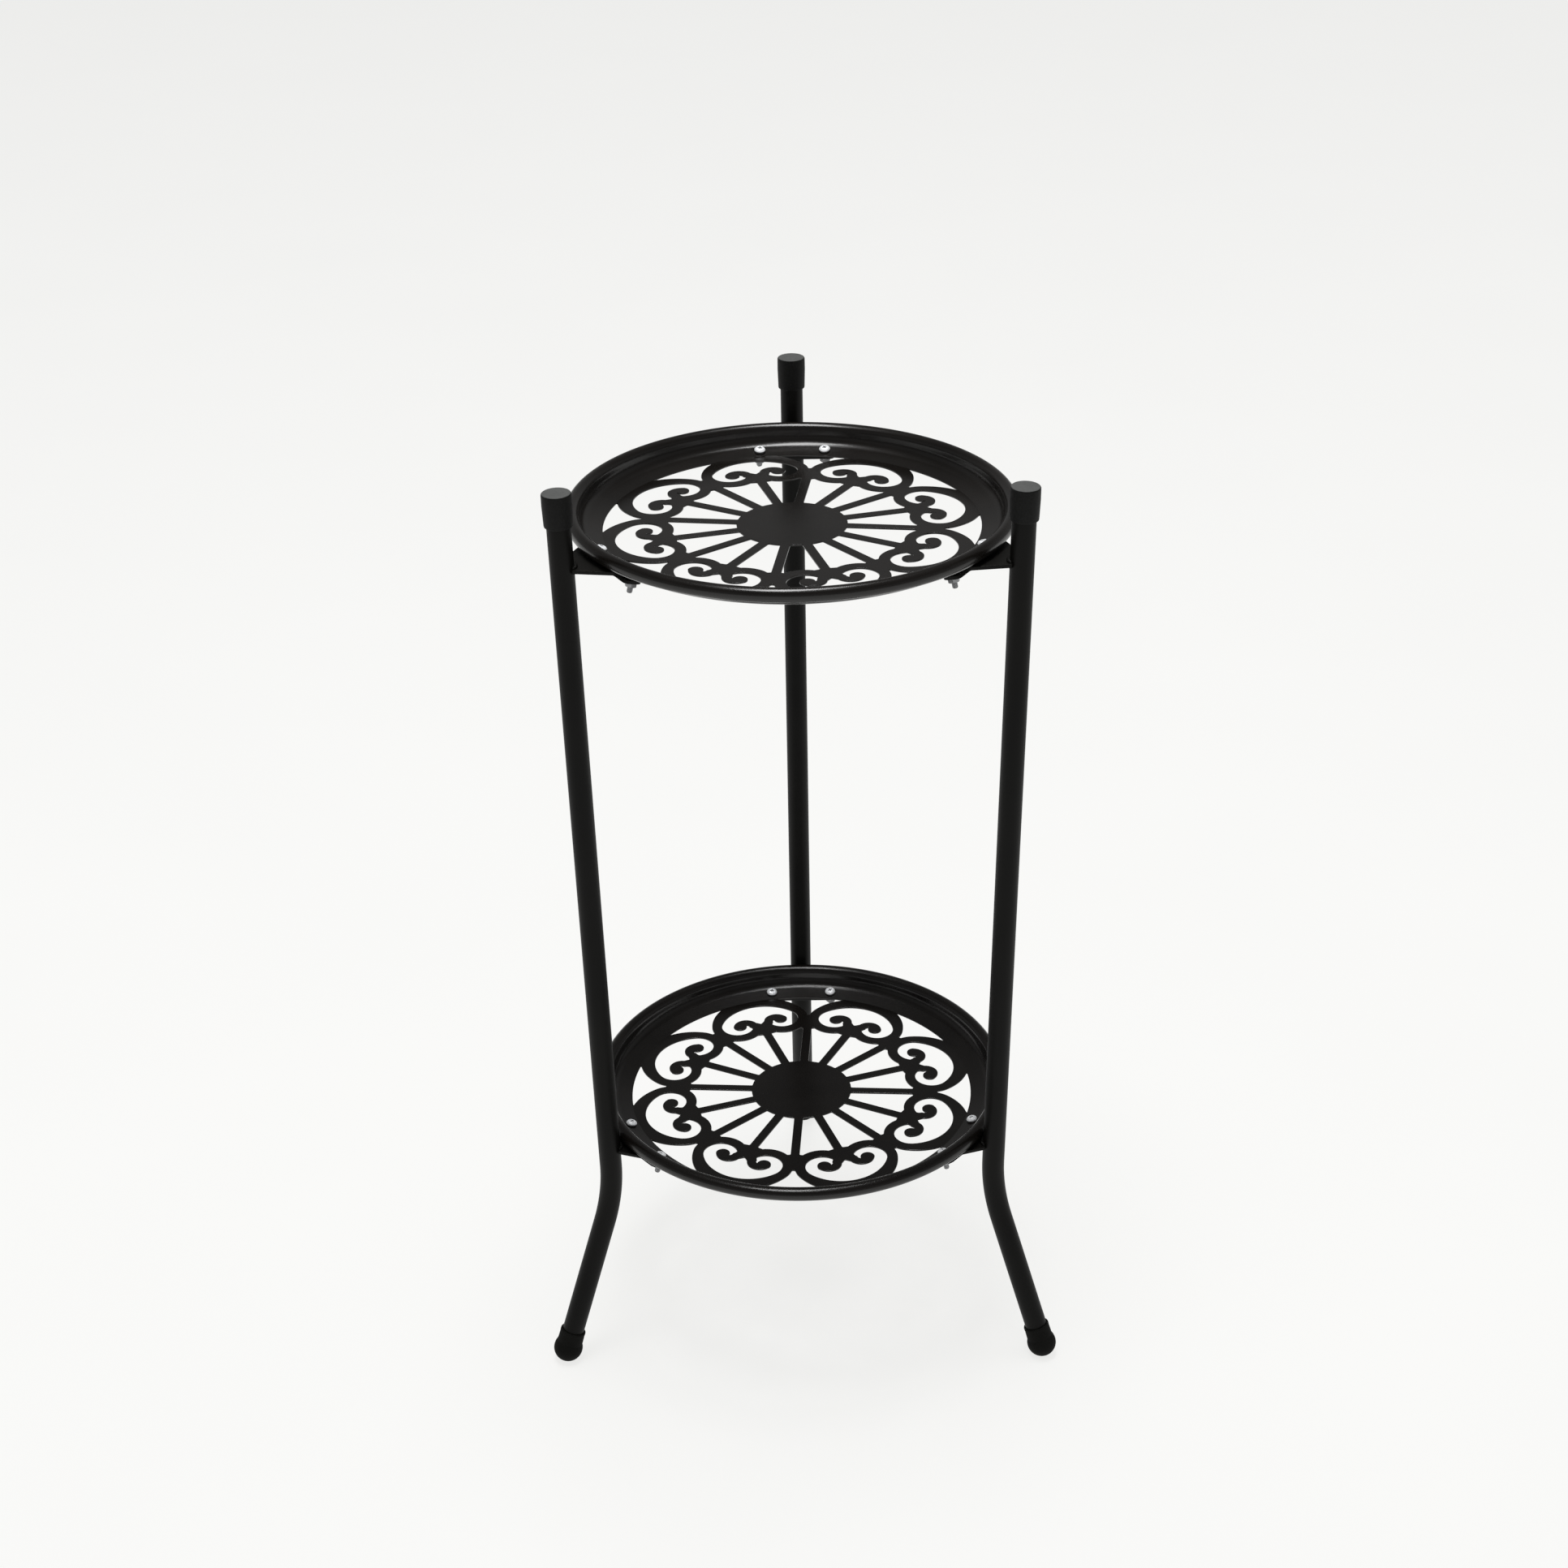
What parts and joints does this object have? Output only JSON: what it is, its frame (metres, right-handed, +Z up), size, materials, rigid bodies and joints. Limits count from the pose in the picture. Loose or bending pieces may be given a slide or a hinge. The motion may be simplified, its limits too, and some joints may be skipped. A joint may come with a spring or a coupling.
{
  "type": "plant stand",
  "caption": "Round tiered plant stand: bent tube legs with capped tops and rubber feet carry pierced metal trays with rolled rims, one above the other.",
  "frame": {"origin": "middle of the footprint's bounding box, on the floor", "axes": "+Z up along the stand's height, -Y towards the viewer between two legs, +Y towards the third leg, +X to the right"},
  "size_m": [0.3748, 0.3672, 0.6865],
  "materials": {
    "leg_paint": "satin black powder coat",
    "tray_paint": "satin black powder coat, slightly warm",
    "cap_plastic": "fine-grained black polyethylene",
    "foot_rubber": "matte black rubber",
    "fastener_zinc": "bright zinc plate"
  },
  "bodies": {
    "root": {"leg_rear": "leg_paint", "top_cap_rear": "cap_plastic", "foot_rear": "foot_rubber", "leg_left": "leg_paint", "top_cap_left": "cap_plastic", "foot_left": "foot_rubber", "leg_right": "leg_paint", "top_cap_right": "cap_plastic", "foot_right": "foot_rubber", "upper_tray": "tray_paint", "upper_bracket_rear": "leg_paint", "upper_screw_rear_1": "fastener_zinc", "upper_nut_rear_1": "fastener_zinc", "upper_screw_rear_2": "fastener_zinc", "upper_nut_rear_2": "fastener_zinc", "upper_bracket_left": "leg_paint", "upper_screw_left_1": "fastener_zinc", "upper_nut_left_1": "fastener_zinc", "upper_screw_left_2": "fastener_zinc", "upper_nut_left_2": "fastener_zinc", "upper_bracket_right": "leg_paint", "upper_screw_right_1": "fastener_zinc", "upper_nut_right_1": "fastener_zinc", "upper_screw_right_2": "fastener_zinc", "upper_nut_right_2": "fastener_zinc", "lower_tray": "tray_paint", "lower_bracket_rear": "leg_paint", "lower_screw_rear_1": "fastener_zinc", "lower_nut_rear_1": "fastener_zinc", "lower_screw_rear_2": "fastener_zinc", "lower_nut_rear_2": "fastener_zinc", "lower_bracket_left": "leg_paint", "lower_screw_left_1": "fastener_zinc", "lower_nut_left_1": "fastener_zinc", "lower_screw_left_2": "fastener_zinc", "lower_nut_left_2": "fastener_zinc", "lower_bracket_right": "leg_paint", "lower_screw_right_1": "fastener_zinc", "lower_nut_right_1": "fastener_zinc", "lower_screw_right_2": "fastener_zinc", "lower_nut_right_2": "fastener_zinc"}
  },
  "joints": []
}
